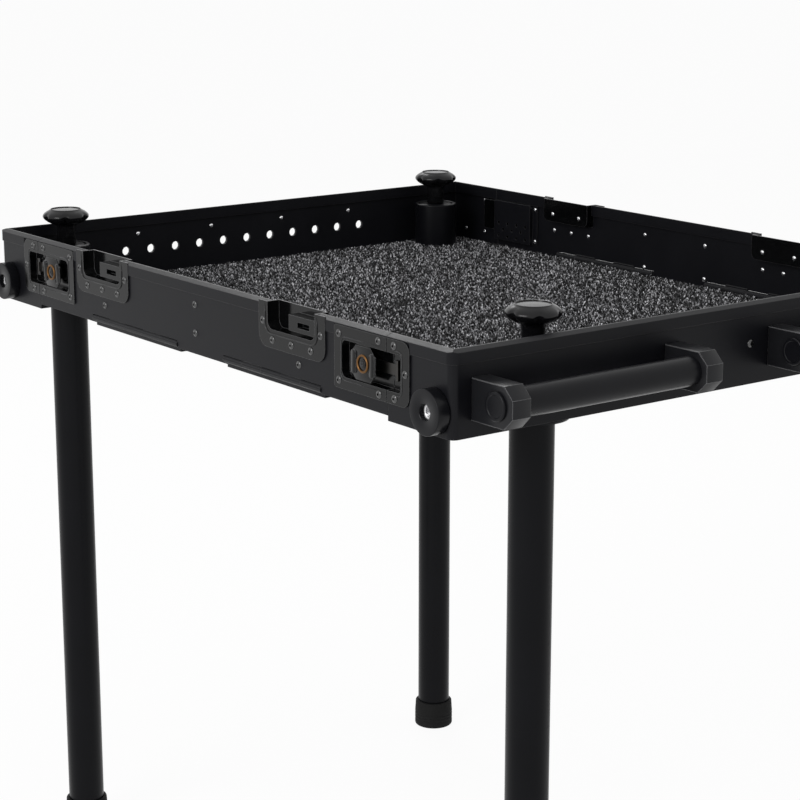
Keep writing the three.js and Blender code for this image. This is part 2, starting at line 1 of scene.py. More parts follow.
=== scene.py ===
import bmesh
import bpy
import numpy as np
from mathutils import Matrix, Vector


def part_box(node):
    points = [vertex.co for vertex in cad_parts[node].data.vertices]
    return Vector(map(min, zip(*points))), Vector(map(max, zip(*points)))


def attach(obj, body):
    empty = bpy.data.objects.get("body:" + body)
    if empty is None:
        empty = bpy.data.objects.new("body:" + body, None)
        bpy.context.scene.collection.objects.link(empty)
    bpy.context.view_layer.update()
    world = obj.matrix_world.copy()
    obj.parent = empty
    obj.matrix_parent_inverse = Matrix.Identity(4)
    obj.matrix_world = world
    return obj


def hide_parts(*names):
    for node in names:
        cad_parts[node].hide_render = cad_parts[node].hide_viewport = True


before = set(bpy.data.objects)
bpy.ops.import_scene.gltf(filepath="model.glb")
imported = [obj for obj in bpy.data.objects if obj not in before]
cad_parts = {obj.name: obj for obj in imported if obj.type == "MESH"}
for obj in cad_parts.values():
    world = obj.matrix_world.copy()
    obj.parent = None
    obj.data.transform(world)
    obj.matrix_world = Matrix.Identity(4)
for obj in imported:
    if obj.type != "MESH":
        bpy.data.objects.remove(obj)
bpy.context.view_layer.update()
scene = bpy.context.scene

# --- View and light ---------------------------------------------------------------------------
# A long lens looks down on the handle end from the front left, over a white studio floor.
# Two wide soft lamps and a pale world light the black coat evenly.
EYE = (-1.3307, -1.6479, 1.0297)
YAW, PITCH = np.radians(37.05), np.radians(-13.5)

camera = bpy.data.objects.new("camera", bpy.data.cameras.new("camera"))
camera.data.lens = 98.1
camera.data.sensor_width = 36.0
camera.location = EYE
camera.rotation_euler = (np.pi / 2 + PITCH, 0.0, -YAW)
scene.collection.objects.link(camera)
scene.camera = camera
scene.view_settings.view_transform = "Standard"


def seen_directly(tree):
    """One where a ray comes from the camera, a mirror surface or glass, and nought elsewhere."""
    path = tree.nodes.new("ShaderNodeLightPath")
    first = tree.nodes.new("ShaderNodeMath")
    first.operation = "MAXIMUM"
    tree.links.new(path.outputs["Is Camera Ray"], first.inputs[0])
    tree.links.new(path.outputs["Is Glossy Ray"], first.inputs[1])
    both = tree.nodes.new("ShaderNodeMath")
    both.operation = "MAXIMUM"
    tree.links.new(first.outputs[0], both.inputs[0])
    tree.links.new(path.outputs["Is Transmission Ray"], both.inputs[1])
    return both.outputs[0]


def studio_world():
    """White where it is seen or reflected, and a paler light on everything else."""
    world = bpy.data.worlds.new("studio")
    world.use_nodes = True
    tree = world.node_tree
    shine = tree.nodes["Background"]
    shine.inputs["Color"].default_value = (1, 1, 1, 1)
    level = tree.nodes.new("ShaderNodeMapRange")
    level.inputs["To Min"].default_value = 0.55
    level.inputs["To Max"].default_value = 1.0
    tree.links.new(seen_directly(tree), level.inputs["Value"])
    tree.links.new(level.outputs["Result"], shine.inputs["Strength"])
    return world


scene.world = studio_world()


def soft_lamp(name, place, aim, size, power):
    """A square lamp of a size in metres and a power in watts, turned towards a point."""
    lamp = bpy.data.objects.new(name, bpy.data.lights.new(name, "AREA"))
    lamp.data.size = size
    lamp.data.energy = power
    direction = np.array(aim) - np.array(place)
    flat = np.hypot(direction[0], direction[1])
    lamp.rotation_euler = (np.arctan2(flat, -direction[2]), 0, np.arctan2(-direction[0], direction[1]))
    lamp.location = place
    scene.collection.objects.link(lamp)


soft_lamp("over_left", (-3.0, -0.5, 1.9), (0, 0, 0.6), 1.6, 42)
soft_lamp("over_back", (1.2, 2.4, 2.8), (0, 0, 0.6), 1.4, 30)


def studio_floor():
    """A level white floor that reaches far past the object and takes a faint shadow."""
    reach = 40.0
    mesh = bpy.data.meshes.new("studio_floor")
    mesh.from_pydata([(-reach, -reach, 0), (reach, -reach, 0), (reach, reach, 0), (-reach, reach, 0)],
                     [], [(0, 1, 2, 3)])
    floor = bpy.data.objects.new("studio_floor", mesh)
    scene.collection.objects.link(floor)
    material = bpy.data.materials.new("studio_floor")
    material.use_nodes = True
    tree = material.node_tree
    matte = tree.nodes["Principled BSDF"]
    matte.inputs["Base Color"].default_value = (0.95, 0.95, 0.95, 1)
    matte.inputs["Roughness"].default_value = 1.0
    white = tree.nodes.new("ShaderNodeEmission")
    mix = tree.nodes.new("ShaderNodeMixShader")
    share = tree.nodes.new("ShaderNodeMath")
    share.operation = "MULTIPLY"
    share.inputs[1].default_value = 0.93
    tree.links.new(seen_directly(tree), share.inputs[0])
    tree.links.new(share.outputs[0], mix.inputs[0])
    tree.links.new(matte.outputs[0], mix.inputs[1])
    tree.links.new(white.outputs[0], mix.inputs[2])
    tree.links.new(mix.outputs[0], tree.nodes["Material Output"].inputs["Surface"])
    mesh.materials.append(material)


studio_floor()

# --- End frames and drop sides ----------------------------------------------------------------
# Folded sheet metal walls with a deeper lip round the top, powder coated satin black. The two
# end frames turn the corners, and the two long sides between them hang on hinges.
near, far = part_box("front_frame")[0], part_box("back_frame")[1]
HALF_WIDTH = -near.x
HALF_LENGTH = (far.y - near.y) / 2
MIDDLE_Y = (far.y + near.y) / 2
BASE_Z = near.z
MM = 0.001
CORNERS = [("front_left", -1, -1), ("front_right", 1, -1), ("back_left", -1, 1), ("back_right", 1, 1)]


def at(side_x, end_y, inward, along, height):
    """A point given in millimetres from a corner: in from the side, along from the end, and up."""
    return np.array([side_x * (HALF_WIDTH - inward * MM), MIDDLE_Y + end_y * (HALF_LENGTH - along * MM),
                     BASE_Z + height * MM])


def coat(name, color, roughness, grain, depth, edge=0.0008, mottle=0.25, shine=0.17, rub=0.0):
    """A coat: fine grain as bump, a slow mottle in its roughness, and eased edges.

    The painted edge highlight is how light the coat is painted where an edge turns, a painted
    highlight line along the edges: full where the eased normal and the true normal are 18 degrees
    apart or more (cosine 0.95), none on a flat face.
    """
    material = bpy.data.materials.new(name)
    material.use_nodes = True
    tree = material.node_tree
    surface = tree.nodes["Principled BSDF"]
    surface.inputs["Specular IOR Level"].default_value = shine
    where = tree.nodes.new("ShaderNodeTexCoord")
    fine = tree.nodes.new("ShaderNodeTexNoise")
    fine.inputs["Scale"].default_value = grain
    fine.inputs["Detail"].default_value = 3.0
    slow = tree.nodes.new("ShaderNodeTexNoise")
    slow.inputs["Scale"].default_value = 18.0
    slow.inputs["Detail"].default_value = 5.0
    bump = tree.nodes.new("ShaderNodeBump")
    bump.inputs["Distance"].default_value = depth
    bump.inputs["Strength"].default_value = 0.6
    rough = tree.nodes.new("ShaderNodeMapRange")
    rough.inputs["To Min"].default_value = roughness * (1 - mottle)
    rough.inputs["To Max"].default_value = roughness * (1 + mottle)
    tone = tree.nodes.new("ShaderNodeMix")
    tone.data_type = "RGBA"
    tone.inputs["A"].default_value = (*color, 1)
    tone.inputs["B"].default_value = (*[c * 1.7 for c in color], 1)
    for node in (fine, slow):
        tree.links.new(where.outputs["Object"], node.inputs["Vector"])
    tree.links.new(fine.outputs["Fac"], bump.inputs["Height"])
    tree.links.new(slow.outputs["Fac"], rough.inputs["Value"])
    tree.links.new(slow.outputs["Fac"], tone.inputs["Factor"])
    tree.links.new(tone.outputs["Result"], surface.inputs["Base Color"])
    tree.links.new(rough.outputs["Result"], surface.inputs["Roughness"])
    if edge:
        eased = tree.nodes.new("ShaderNodeBevel")
        eased.samples = 4
        eased.inputs["Radius"].default_value = edge
        tree.links.new(eased.outputs["Normal"], bump.inputs["Normal"])
    # Painted highlight: the base colour is lightened along turned edges.
    if edge and rub:
        true = tree.nodes.new("ShaderNodeNewGeometry")
        turn = tree.nodes.new("ShaderNodeVectorMath")
        turn.operation = "DOT_PRODUCT"
        edge_highlight_share = tree.nodes.new("ShaderNodeMapRange")
        edge_highlight_share.inputs["From Min"].default_value = 0.998
        edge_highlight_share.inputs["From Max"].default_value = 0.95
        lighter = tree.nodes.new("ShaderNodeMix")
        lighter.data_type = "RGBA"
        lighter.inputs["B"].default_value = (rub, rub, rub * 1.03, 1)
        tree.links.new(eased.outputs["Normal"], turn.inputs[0])
        tree.links.new(true.outputs["Normal"], turn.inputs[1])
        tree.links.new(turn.outputs["Value"], edge_highlight_share.inputs["Value"])
        tree.links.new(edge_highlight_share.outputs["Result"], lighter.inputs["Factor"])
        tree.links.new(tone.outputs["Result"], lighter.inputs["A"])
        tree.links.new(lighter.outputs["Result"], surface.inputs["Base Color"])
    tree.links.new(bump.outputs["Normal"], surface.inputs["Normal"])
    return material


def finish_nodes(material, *names):
    """Give nodes of the frame a material, in place of the one they were loaded with."""
    for name in names:
        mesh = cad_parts[name].data
        mesh.materials.clear()
        mesh.materials.append(material)


# The powder coat is painted slightly lighter along its edges, a painted highlight.
powder_coat = coat("powder_coat", (0.0046, 0.0047, 0.006), 0.36, 2600, 0.00006, shine=0.13, rub=0.045)
finish_nodes(powder_coat, "front_frame", "back_frame", "drop_side_left", "drop_side_right", "deck_panel")
finish_nodes(powder_coat, *[f"hinge_base_{end}_{side}" for end in ("front", "back")
                            for side in ("left", "right")])


def put(name, points, faces, body, material, slot, replaced=(), crease=38):
    """A finished mesh from points and faces, merged where they meet, facing out, riding a body."""
    mesh = bpy.data.meshes.new(name)
    mesh.from_pydata(np.asarray(points).tolist(), [], [list(map(int, f)) for f in faces])
    work = bmesh.new()
    work.from_mesh(mesh)
    bmesh.ops.remove_doubles(work, verts=work.verts, dist=2e-6)
    bmesh.ops.dissolve_degenerate(work, edges=work.edges, dist=1e-7)
    bmesh.ops.recalc_face_normals(work, faces=work.faces)
    work.to_mesh(mesh)
    work.free()
    mesh.shade_smooth()
    mesh.set_sharp_from_angle(angle=np.radians(crease))
    mesh.materials.append(material)
    piece = bpy.data.objects.new(name, mesh)
    scene.collection.objects.link(piece)
    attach(piece, body)
    if replaced:
        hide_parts(*replaced)
    return piece


def net(rows, columns, wrap_rows=False):
    """Four-sided faces over a grid of points, closed across the columns, and the rows if asked."""
    last = rows if wrap_rows else rows - 1
    row, column = np.meshgrid(np.arange(last), np.arange(columns), indexing="ij")
    below, beside = (row + 1) % rows, (column + 1) % columns
    corners = [row * columns + column, row * columns + beside, below * columns + beside,
               below * columns + column]
    return np.stack([c.ravel() for c in corners], -1)


def across(axis):
    """Two directions at right angles to an axis and to each other."""
    first = np.cross(axis, (0.0, 1.0, 0.0) if abs(axis[1]) < 0.9 else (1.0, 0.0, 0.0))
    first /= np.linalg.norm(first)
    return first, np.cross(axis, first)


def turned(profile, origin, axis, sides=64):
    """A turned shape: each (radius, distance) of the profile is swept round the axis."""
    profile = np.asarray(profile, float) * MM
    axis = np.asarray(axis, float)
    one, two = across(axis)
    turn = np.linspace(0, 2 * np.pi, sides, endpoint=False)[None, :, None]
    ring = np.cos(turn) * one + np.sin(turn) * two
    points = origin + profile[:, 1, None, None] * axis + profile[:, 0, None, None] * ring
    return points.reshape(-1, 3), net(len(profile), sides)


def joined(parts):
    """Several meshes as one list of points and one of faces."""
    points, faces, start = [], [], 0
    for part_points, part_faces in parts:
        points.append(part_points)
        faces.extend([[i + start for i in face] for face in part_faces])
        start += len(part_points)
    return np.concatenate(points), faces


def slab(outline, origin, right, up, out, thickness, ease):
    """A flat plate with eased edges: its outline, drawn in slightly at both faces."""
    outline = np.asarray(outline, float) * MM
    reach = np.abs(outline).max()
    rings = []
    for draw, level in ((ease, 0), (ease * 0.3, ease * 0.3), (0, ease), (0, thickness - ease),
                        (ease * 0.3, thickness - ease * 0.3), (ease, thickness)):
        shrunk = outline * (1 - draw * MM / reach)
        rings.append(origin + shrunk[:, :1] * right + shrunk[:, 1:] * up + level * MM * np.asarray(out))
    count = len(outline)
    faces = net(len(rings), count).tolist()
    faces += [list(range(count))[::-1], list(range((len(rings) - 1) * count, len(rings) * count))]
    return np.concatenate(rings), faces


# --- Posts, sockets and feet ------------------------------------------------------------------
# 38 mm tubes, painted satin black, that slip up through turned sockets welded to the deck. Each
# socket is eased round its bright top edge, and each post ends in a black rubber foot.
post_paint = coat("post_paint", (0.003, 0.0031, 0.004), 0.3, 3200, 0.00003, edge=0, shine=0.1)
foot_rubber = coat("foot_rubber", (0.006, 0.006, 0.006), 0.75, 1500, 0.00008, edge=0)
POST_RADIUS = 19.05
POST_BORE_RADIUS = 16.5
KNOB_HOLE_RADIUS = 5.3
SOCKET_RADIUS = 24.35
SOCKET_BORE_RADIUS = 19.65
SOCKET_FLANGE_RADIUS = 31


def arc(center, radius, start, end, steps=6):
    """Points round part of a circle, from one angle in degrees to another."""
    turn = np.radians(np.linspace(start, end, steps))
    return [(center[0] + radius * np.cos(t), center[1] + radius * np.sin(t)) for t in turn]


for corner, side_x, end_y in CORNERS:
    low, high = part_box(f"post_tube_{corner}")
    foot_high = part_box(f"post_foot_{corner}")[1]
    socket_low, socket_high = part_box(f"post_socket_{corner}")
    middle = (np.array(low) + np.array(high)) / 2
    axis_foot = np.array([middle[0], middle[1], 0.0])
    top, bottom = high.z / MM, low.z / MM
    plug = top - 14
    tube = arc((POST_RADIUS - 1, bottom + 1), 1, -90, 0)
    tube += arc((POST_RADIUS - 1.5, top - 1.5), 1.5, 0, 90)
    tube += [(KNOB_HOLE_RADIUS, top), (KNOB_HOLE_RADIUS, plug), (POST_BORE_RADIUS, plug),
             (POST_BORE_RADIUS, bottom), tube[0]]
    put(f"post_{corner}", *turned(tube, axis_foot, (0, 0, 1), 72), "tray", post_paint, "post_coat",
        [f"post_tube_{corner}"])
    rise = foot_high.z / MM
    foot = [(0, 1.2), (14, 1.2), (15, 0)] + arc((20.5, 2.5), 2.5, -90, 0)
    for rib in (6.5, 10.5, 14.5):
        foot += [(23, rib), (22.4, rib + 0.8), (22.4, rib + 1.6), (23, rib + 2.4)]
    foot += arc((20.6, rise - 1.6), 1.6, 0, 90) + [(19.3, rise), (19.3, 8), (0, 8)]
    put(f"rubber_foot_{corner}", *turned(foot, axis_foot, (0, 0, 1), 64), "tray", foot_rubber,
        "foot_rubber", [f"post_foot_{corner}"])
    crown, skirt, seat = (z / MM for z in (socket_high.z, BASE_Z - 0.0003, socket_low.z))
    sleeve = [(SOCKET_BORE_RADIUS, seat), (SOCKET_FLANGE_RADIUS, seat)]
    sleeve += arc((SOCKET_FLANGE_RADIUS, skirt - 1), 1, 0, 90, 4) + [(SOCKET_RADIUS, skirt)]
    sleeve += arc((SOCKET_RADIUS - 1.5, crown - 1.5), 1.5, 0, 90)
    sleeve += arc((SOCKET_BORE_RADIUS + 0.8, crown - 0.8), 0.8, 90, 180, 4)
    sleeve += [(SOCKET_BORE_RADIUS, seat)]
    put(f"socket_{corner}", *turned(sleeve, axis_foot, (0, 0, 1), 72), "tray", post_paint,
        "socket_coat", [f"post_socket_{corner}"])

# --- Knobs ------------------------------------------------------------------------------------
# Glossy moulded hand knobs with six scallops round a domed cap, a sunk disc in its top, and a
# plain stem. Each screws into the top of its post and tightens it in the socket.
knob_gloss = coat("knob_gloss", (0.0035, 0.0035, 0.004), 0.2, 900, 0.00002, edge=0, shine=0.28)


def lobed(profile, origin, lobes, depth, sides=144):
    """A turned shape whose radius dips in a smooth scallop at each of its lobes."""
    profile = np.asarray(profile, float)
    turn = np.linspace(0, 2 * np.pi, sides, endpoint=False)[None, :]
    dip = np.maximum(0, np.cos(lobes * turn)) ** 2
    radius = (profile[:, :1] - depth * profile[:, 2:3] * dip) * MM
    points = np.stack([origin[0] + radius * np.cos(turn), origin[1] + radius * np.sin(turn),
                       origin[2] + profile[:, 1:2] * MM + 0 * turn], -1)
    return points.reshape(-1, 3), net(len(profile), sides)


for corner, side_x, end_y in CORNERS:
    low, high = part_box(f"post_knob_{corner}")
    hub = np.array([(low.x + high.x) / 2, (low.y + high.y) / 2, BASE_Z])
    stud_end = (low.z - BASE_Z) / MM
    cap_top = (high.z - BASE_Z) / MM
    outline = [(0, stud_end, 0), (5, stud_end, 0), (5, 55, 0), (9.2, 55, 0), (10, 55.8, 0), (10, 72, 0),
               (10.4, 74.6, 0.1), (12.5, 76.1, 0.5), (15.5, 77, 0.85), (19, 78.8, 1), (22, 81, 1),
               (23.6, 83, 0.85), (24, 84.6, 0.6), (23.6, 86, 0.35), (22.3, 87.6, 0.15),
               (20, 89.3, 0.05), (17.6, 90.6, 0), (16.2, cap_top - 0.5, 0), (15.7, cap_top, 0),
               (15.2, cap_top - 0.1, 0), (15, cap_top - 1, 0), (12, cap_top - 0.8, 0),
               (6, cap_top - 0.5, 0), (0, cap_top - 0.4, 0)]
    put(f"knob_{corner}", *lobed(outline, hub, 6, 4.2), f"knob_{corner}", knob_gloss, "knob_plastic",
        [f"post_knob_{corner}"], crease=50)

# --- Corner bosses ----------------------------------------------------------------------------
# Turned black bosses screwed to the long sides close to each corner, with a stepped face and a
# bright threaded insert in the bore for an accessory stud.
bright_metal = coat("bright_metal", (0.55, 0.55, 0.56), 0.22, 700, 0.00003, edge=0)
bright_metal.node_tree.nodes["Principled BSDF"].inputs["Metallic"].default_value = 1.0
boss_coat = coat("boss_coat", (0.004, 0.0041, 0.0052), 0.3, 2400, 0.00003, edge=0)

for corner, side_x, end_y in CORNERS:
    root = at(side_x, end_y, 0.9, 22, 20.8)
    out = (side_x, 0, 0)
    boss = [(7, 0), (18, 0)] + arc((18, 1), 1, -90, 0, 4) + arc((18.3, 10.8), 0.7, 0, 90)
    boss += [(8.2, 11.5), (7, 10.7), (7, 0)]
    put(f"boss_{corner}", *turned(boss, root, out, 64), "tray", boss_coat, "boss_coat",
        [f"corner_boss_{corner}"])
    insert = [(6.9, 0.5), (6.9, 6.4)]
    for level in np.arange(6.2, 1.5, -0.9):
        insert += [(5.9, level), (5.1, level - 0.45)]
    insert += [(0, 1.5), (0, 0.5), (6.9, 0.5)]
    put(f"insert_{corner}", *turned(insert, root, out, 32), "tray", bright_metal, "boss_coat", crease=60)

# --- Handles ----------------------------------------------------------------------------------
# Two coated 25 mm grips across the front wall, each held in a pair of eight-sided blocks. A
# plain disc closes each end of the grip, just proud of its block.
# The blocks are painted lighter along their edges, a painted highlight.
bracket_coat = coat("bracket_coat", (0.009, 0.0092, 0.0105), 0.3, 2400, 0.00004, edge=0.0007, shine=0.2,
                    rub=0.2)
grip_paint = coat("grip_paint", (0.0045, 0.0046, 0.0058), 0.3, 3200, 0.00003, edge=0, shine=0.15)

for side in ("left", "right"):
    for end in ("outer", "inner"):
        node = f"handle_bracket_{side}_{end}"
        low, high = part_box(node)
        deep, tall = (high.y - low.y) / MM, (high.z - low.z) / MM
        chamfer = 10
        shape = [(deep / 2, -tall / 2), (deep / 2, tall / 2), (chamfer - deep / 2, tall / 2),
                 (-deep / 2, tall / 2 - chamfer), (-deep / 2, chamfer - tall / 2),
                 (chamfer - deep / 2, -tall / 2)]
        start = np.array([low.x, (low.y + high.y) / 2, (low.z + high.z) / 2])
        put(f"block_{side}_{end}", *slab(shape, start, np.array([0, 1.0, 0]), np.array([0, 0, 1.0]),
                                         (1.0, 0, 0), (high.x - low.x) / MM, 0.9),
            "tray", bracket_coat, "bracket_coat", [node], crease=25)
    low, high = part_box(f"handle_grip_{side}")
    length = (high.x - low.x) / MM
    origin = np.array([low.x, (low.y + high.y) / 2, (low.z + high.z) / 2])
    grip = [(0, 0.5), (9, 0.5), (9.6, 0)] + arc((10.9, 1.2), 1.2, -90, 0) + [(12.1, 3.4), (12.7, 3.6)]
    grip += [(12.7, length / 2)] + [(r, length - t) for r, t in reversed(grip)]
    put(f"grip_{side}", *turned(grip, origin, (1, 0, 0), 64), "tray", grip_paint, "grip_coat",
        [f"handle_grip_{side}"], crease=35)

# --- Latches ----------------------------------------------------------------------------------
# Pressed black recessed latches over the four seams. A wing plate turns in each dish on a brass
# ring and draws the claw, whose worn steel head hooks behind two horns in the strike.
# The latch plates are painted lighter along their edges, a painted highlight.
latch_black = coat("latch_black", (0.0014, 0.0015, 0.0017), 0.13, 1800, 0.00003, edge=0.0005, shine=0.26,
                   rub=0.12)
claw_steel = coat("claw_steel", (0.045, 0.043, 0.041), 0.32, 900, 0.00006, edge=0.0005)
claw_steel.node_tree.nodes["Principled BSDF"].inputs["Metallic"].default_value = 1.0
brass = coat("brass", (0.11, 0.055, 0.02), 0.34, 900, 0.00003, edge=0)
brass.node_tree.nodes["Principled BSDF"].inputs["Metallic"].default_value = 1.0
finish_nodes(powder_coat, *[f"latch_cover_{corner}" for corner, _, _ in CORNERS])
finish_nodes(latch_black, *[f"latch_{part}_{corner}" for corner, _, _ in CORNERS
                            for part in ("dish", "strike")])
finish_nodes(claw_steel, *[f"latch_claw_{corner}" for corner, _, _ in CORNERS])
WING_MIDDLE = 42.4
WING_ALONG = 115
PLATE_FACE = -0.3


def bead(line, out, radius, sides=10):
    """A round bead laid on a face along a line of points, closed to a point at both ends."""
    run = np.gradient(line, axis=0)
    run /= np.linalg.norm(run, axis=1, keepdims=True)
    beside = np.cross(run, out)
    swell = np.ones(len(line))
    swell[[0, -1]] = 0
    turn = np.linspace(0, 2 * np.pi, sides, endpoint=False)[None, :, None]
    points = line[:, None] + radius * swell[:, None, None] * (
        np.cos(turn) * beside[:, None] + np.sin(turn) * np.asarray(out, float))
    return points.reshape(-1, 3), net(len(line), sides)


wing_shape = [(17, -7.5), (17, 7.5), (10, 14.5), (-10, 14.5), (-17, 7.5), (-17, -7.5), (-10, -14.5),
              (10, -14.5)]
pad_shape = [(3.2, -8.5), (3.2, 8.5), (1.8, 10), (-1.8, 10), (-3.2, 8.5), (-3.2, -8.5), (-1.8, -10),
             (1.8, -10)]
for corner, side_x, end_y in CORNERS:
    out = np.array([side_x, 0.0, 0.0])
    right, up = np.array([0.0, -end_y, 0.0]), np.array([0.0, 0.0, 1.0])
    pivot = at(side_x, end_y, 2 * PLATE_FACE, WING_ALONG, WING_MIDDLE)
    plate = slab(wing_shape, pivot, right, up, out, 1.3, 0.35)
    pads = [slab(pad_shape, pivot + right * offset * MM + out * 1.1 * MM, right, up, out, 1.1, 0.3)
            for offset in (-12.6, 12.6)]
    hub = turned([(0, -6), (9, -6), (9, -3.8), (5, -3.6), (5, 0.4), (0, 0.4)], pivot, out, 40)
    put(f"wing_{corner}", *joined([plate, *pads, hub]), f"wing_{corner}", latch_black, "latch_coat",
        [f"latch_wing_{corner}"])
    ring = arc((6.9, 1.5), 1.1, 0, 360, 17)
    put(f"wing_ring_{corner}", *turned(ring, pivot, out, 40), f"wing_{corner}", brass, "claw_steel",
        crease=50)
    screw = [(0, 1.2), (3.9, 1.2), (3.9, 1.9), (3.1, 2.3), (1.5, 2.3), (1.3, 1.7), (0, 1.7)]
    pins = [turned([(0, 1.2), (1.7, 1.2), (1.5, 1.8), (0.8, 2.1), (0, 2.1)],
                   pivot + (right * along + up * rise) * MM, out, 16)
            for along in (-12.6, 12.6) for rise in (-6, 6)]
    put(f"wing_screw_{corner}", *joined([turned(screw, pivot, out, 28), *pins]), f"wing_{corner}",
        latch_black, "latch_coat", crease=50)
    body = "left_side" if side_x < 0 else "right_side"
    for name, owner, path in (("dish", body, [(85.7, 60.2)] + arc((142, 54.4), 5.8, 90, 0)
                               + arc((142, 29.2), 5.8, 0, -90) + [(85.7, 23.4)]),
                              ("strike", "tray", [(84.3, 60.2)] + arc((68.5, 56), 4.2, 90, 180)
                               + arc((68.5, 27.6), 4.2, 180, 270) + [(84.3, 23.4)])):
        line = np.array([at(side_x, end_y, PLATE_FACE, along, height) for along, height in path])
        put(f"{name}_bead_{corner}", *bead(line, out, 0.00055), owner, latch_black, "latch_coat",
            crease=60)

# --- Rim keepers ------------------------------------------------------------------------------
# Pressed keepers under the rim of both sides, two to a side. A pocket opens upwards through the
# lip, and a hook box stands in one half of it for the catch of whatever is stacked on top.
SIDES = (("left", -1), ("right", 1))
KEEPERS = (("front", 171), ("back", 497))
KEEPER_HALF = 50
finish_nodes(latch_black, *[f"rim_keeper_{end}_{side}" for end in ("front", "back") for side, _ in SIDES])
for side, side_x in SIDES:
    out = np.array([side_x, 0.0, 0.0])
    for end, start in KEEPERS:
        near_edge, far_edge = start + 11.6, start + 89.9
        path = [(near_edge, 71.5), (near_edge, 62)] + arc((near_edge + 8, 53), 8, 180, 270)
        path += [(far_edge - 30, 45)] + arc((far_edge - 8, 53), 8, 270, 360)
        path += [(far_edge, 62), (far_edge, 71.5)]
        line = np.array([at(side_x, -1, PLATE_FACE, along, height) for along, height in path])
        put(f"keeper_bead_{end}_{side}", *bead(line, out, 0.0009), f"{side}_side", latch_black,
            "latch_coat", crease=60)

# --- Rivets and screws ------------------------------------------------------------------------
# Domed rivets hold the latches and keepers, and low round-headed screws the walls. Black ones
# are coated with the plates, and those that go through to the inside are bare.
rivet_black = coat("rivet_black", (0.005, 0.005, 0.0054), 0.14, 1800, 0.00002, edge=0, shine=1.0)
WALL_OUTSIDE = 1.2
WALL_INSIDE = 4.2
COVER_FACE = 5.7
KEEPER_BACK = 13.2



def heads(spots, radius, rise, dimple):
    """Domed heads: a quarter-ellipse profile with a small sunk middle, turned at every spot."""
    turn = np.linspace(0, np.pi / 2 * 0.8, 5)
    profile = [(radius, -0.15)] + [(radius * np.cos(t), rise * np.sin(t)) for t in turn]
    profile = [(0, -0.15)] + profile + [(dimple, rise * 0.97), (dimple * 0.85, rise * 0.4), (0, rise * 0.3)]
    return joined([turned(profile, place, out, 18) for place, out in spots])


def facing(side_x, end_y, inward, places, out):
    """Spots at one depth in from a side, for each (along, height), all facing the same way."""
    return [(at(side_x, end_y, inward, along, height), out) for along, height in places]


coated = {"tray": [], "left_side": [], "right_side": []}
small = {"tray": [], "left_side": [], "right_side": []}
for corner, side_x, end_y in CORNERS:
    body = "left_side" if side_x < 0 else "right_side"
    out, back = (side_x, 0, 0), (-side_x, 0, 0)
    coated[body] += facing(side_x, end_y, PLATE_FACE, [(151, 62), (151, 22.5), (96, 64.4), (95, 20.4)], out)
    coated["tray"] += facing(side_x, end_y, PLATE_FACE, [(75, 64), (74, 20.6), (60, 43)], out)
    small[body] += facing(side_x, end_y, COVER_FACE, [(153.5, 18.5), (153.5, 55.5)], back)
    small["tray"] += facing(side_x, end_y, WALL_INSIDE, [(25, 18.5), (60, 18.5), (60, 56)], back)
for side, side_x in SIDES:
    body = f"{side}_side"
    out, back = (side_x, 0, 0), (-side_x, 0, 0)
    for _, start in KEEPERS:
        middle = start + KEEPER_HALF
        rivets = [(middle - 29, 39.5), (middle, 39.5), (middle + 29, 39.5), (middle - 43.5, 55),
                  (middle + 43.5, 55)]
        coated[body] += facing(side_x, -1, PLATE_FACE, rivets, out)
        small[body] += facing(side_x, -1, WALL_INSIDE, [(middle + d, 36) for d in (-29, 0, 29)], back)
        small[body] += facing(side_x, -1, KEEPER_BACK, [(middle + d, 56) for d in (-22, 22)], back)
    coated[body] += facing(side_x, -1, WALL_OUTSIDE, [(212, 24), (379, 24), (545, 24), (379, 50.6)], out)
    small[body] += facing(side_x, -1, WALL_INSIDE, [(a, h) for a in (334, 426) for h in (14, 49.7)], back)
coated["tray"] += [(at(-1, -1, across_front, WALL_OUTSIDE, 36), (0, -1, 0)) for across_front in (279, 331)]
small["tray"] += [(at(-1, 1, across_back, WALL_INSIDE, 51.4), (0, -1, 0))
                  for across_back in (164, 258, 352, 446)]
for body in coated:
    put(f"rivets_{body}", *heads(coated[body], 3.6, 1.5, 1.5), body, rivet_black, "latch_coat")
    put(f"screws_{body}", *heads(small[body], 2.4, 1.0, 0.9), body, bright_metal, "claw_steel")

# --- Carpet -----------------------------------------------------------------------------------
# A charcoal cut-pile carpet glued to the deck, flecked with pale and near-black yarns. The
# backing is one laid sheet, and the short yarn ends stand on it at random leans.
carpet_low, carpet_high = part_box("carpet_lining")
CARPET = (carpet_high.x - carpet_low.x, carpet_high.y - carpet_low.y)
SOCKET_CLEAR = 0.0255


def yarn_finish(name, roughness):
    """Yarn: the colour of each end comes from the piece's own tone attribute, with a soft sheen."""
    material = bpy.data.materials.new(name)
    material.use_nodes = True
    tree = material.node_tree
    surface = tree.nodes["Principled BSDF"]
    surface.inputs["Roughness"].default_value = roughness
    surface.inputs["Specular IOR Level"].default_value = 0.15
    surface.inputs["Sheen Weight"].default_value = 0.1
    tone = tree.nodes.new("ShaderNodeAttribute")
    tone.attribute_name = "tone"
    where = tree.nodes.new("ShaderNodeTexCoord")
    grain = tree.nodes.new("ShaderNodeTexNoise")
    grain.inputs["Scale"].default_value = 1400.0
    bump = tree.nodes.new("ShaderNodeBump")
    bump.inputs["Distance"].default_value = 0.0003
    tree.links.new(where.outputs["Object"], grain.inputs["Vector"])
    tree.links.new(grain.outputs["Fac"], bump.inputs["Height"])
    tree.links.new(bump.outputs["Normal"], surface.inputs["Normal"])
    tree.links.new(tone.outputs["Color"], surface.inputs["Base Color"])
    return material


